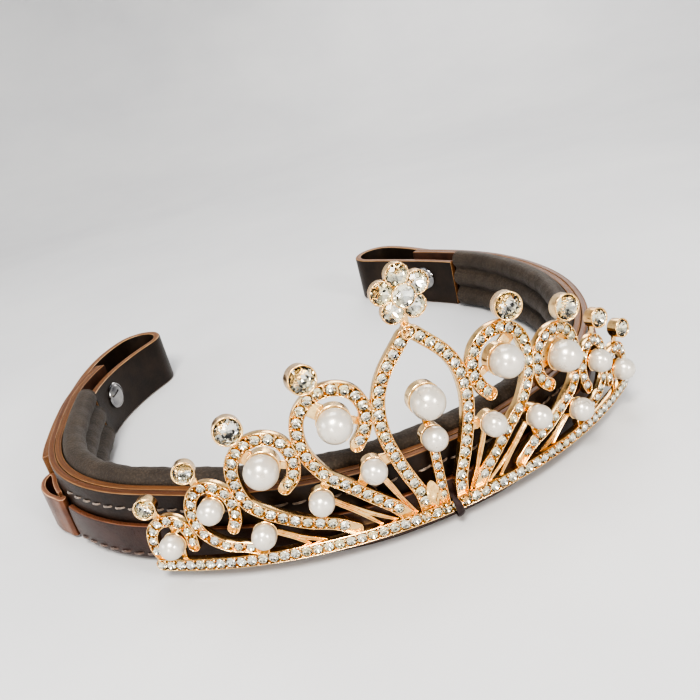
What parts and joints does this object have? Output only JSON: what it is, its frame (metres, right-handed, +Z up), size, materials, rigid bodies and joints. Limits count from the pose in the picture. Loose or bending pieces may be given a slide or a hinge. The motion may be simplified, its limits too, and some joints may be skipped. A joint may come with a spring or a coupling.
{
  "type": "jewelled bridle browband",
  "caption": "Curved padded leather bridle browband with snap-fastened end loops and a rose-gold scrolled tiara set with crystals and pearls tied to its front.",
  "frame": {"origin": "on the band's lower edge, at the centre of its box in plan", "axes": "+Z up from the lower edge to the tiara's flower, +Y towards the open back of the band, +X to the right as the tiara is seen from the front"},
  "size_m": [0.186, 0.1912, 0.0677],
  "materials": {
    "tan_leather": "dyed bridle leather, burnished tan cut edges",
    "dark_leather": "smooth dark brown bridle leather with polished edges",
    "red_leather": "smooth reddish brown bridle leather",
    "lining_leather": "soft fine-grained taupe lining leather",
    "foam": "closed-cell padding foam",
    "nickel": "bright nickel plate",
    "thread": "waxed bonded thread, pale grey",
    "rose_gold": "polished rose-gold plate",
    "crystal": "faceted foil-backed glass",
    "pearl": "nacre-coated imitation pearl"
  },
  "bodies": {
    "band": {"strap_backing": "tan_leather", "strap_face": "dark_leather", "overlay_strip": "red_leather", "lining_sleeve": "lining_leather", "foam_core": "foam", "loop_strap_left": "dark_leather", "loop_strap_right": "dark_leather", "keeper_left": "red_leather", "keeper_right": "red_leather", "snap_stud_left": "nickel", "snap_stud_right": "nickel", "stitching_upper": "thread", "stitching_lower": "thread", "base_rail": "rose_gold", "rail_stones": "crystal", "arch_left": "rose_gold", "arch_right": "rose_gold", "arch_stones": "crystal", "scroll_a_left": "rose_gold", "scroll_a_right": "rose_gold", "scroll_b_left": "rose_gold", "scroll_b_right": "rose_gold", "scroll_c_left": "rose_gold", "scroll_c_right": "rose_gold", "scroll_d_left": "rose_gold", "scroll_d_right": "rose_gold", "scroll_stones_left": "crystal", "scroll_stones_right": "crystal", "centre_stem": "rose_gold", "stem_stones": "crystal", "leaf": "rose_gold", "flower_setting": "rose_gold", "flower_stones": "crystal", "bezel_cups": "rose_gold", "bezel_stones": "crystal", "pearl_cups": "rose_gold", "large_pearls": "pearl", "small_pearls": "pearl", "pearl_wires": "rose_gold", "lace_tie": "dark_leather"},
    "flap_left": {"loop_flap_left": "dark_leather", "snap_cap_left": "nickel", "snap_socket_left": "nickel"},
    "flap_right": {"loop_flap_right": "dark_leather", "snap_cap_right": "nickel", "snap_socket_right": "nickel"}
  },
  "joints": [
    {"name": "right_flap_fold", "type": "hinge", "parent": "band", "child": "flap_right", "pos_m": [0.0461, 0.08003, 0.0093], "axis": [0, 0, -1], "range_deg": [0, 100]},
    {"name": "left_flap_fold", "type": "hinge", "parent": "band", "child": "flap_left", "pos_m": [-0.05104, 0.06595, 0.0093], "axis": [0, 0, 1], "range_deg": [0, 100]}
  ]
}
